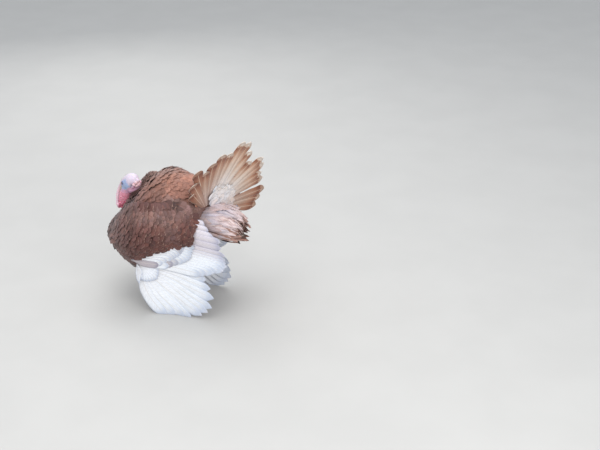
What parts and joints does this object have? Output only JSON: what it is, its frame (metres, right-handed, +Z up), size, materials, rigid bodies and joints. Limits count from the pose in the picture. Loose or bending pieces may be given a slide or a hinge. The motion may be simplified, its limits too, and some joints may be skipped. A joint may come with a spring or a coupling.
{
  "type": "domestic turkey",
  "caption": "Life-size model of a domestic turkey tom in full strut: tail fanned and tilted, wings drooped, head drawn back, chestnut body, white wings, buff tail.",
  "frame": {"origin": "on the floor, under the centre of the bird's outline seen from above", "axes": "-Y the way the body faces, +X to the bird's left, +Z up"},
  "size_m": [0.5934, 0.7494, 0.8666],
  "materials": {
    "chestnut_feather": "matte layered feathers with darker and paler edges",
    "buff_feather": "matte feathers, white at the root, cinnamon band, cream tips",
    "white_feather": "matte white flight feathers",
    "pale_skin": "bare wrinkled skin, white crown, blue round the eye",
    "red_skin": "bare warty skin",
    "horn": "smooth horn",
    "claw": "dark horn",
    "leg_scale": "plated scales",
    "beard": "coarse black bristles",
    "eye": "wet gloss, dark brown iris"
  },
  "bodies": {
    "root": {"beard": "beard", "bill_lower": "horn", "bill_upper": "horn", "caruncles": "red_skin", "claw_left_hind": "claw", "claw_left_inner": "claw", "claw_left_middle": "claw", "claw_left_outer": "claw", "claw_right_hind": "claw", "claw_right_inner": "claw", "claw_right_middle": "claw", "claw_right_outer": "claw", "eye_left": "eye", "eye_right": "eye", "foot_left": "leg_scale", "foot_right": "leg_scale", "head": "pale_skin", "neck": "chestnut_feather", "shank_left": "leg_scale", "shank_right": "leg_scale", "snood": "red_skin", "spur_left": "claw", "spur_right": "claw", "tail_coverts": "chestnut_feather", "tail_rectrices": "buff_feather", "thigh_left": "chestnut_feather", "thigh_right": "chestnut_feather", "throat": "red_skin", "trunk": "chestnut_feather", "undertail_coverts": "buff_feather", "wing_left_arm": "chestnut_feather", "wing_left_primaries": "white_feather", "wing_left_secondaries": "white_feather", "wing_right_arm": "chestnut_feather", "wing_right_primaries": "white_feather", "wing_right_secondaries": "white_feather"}
  },
  "joints": []
}
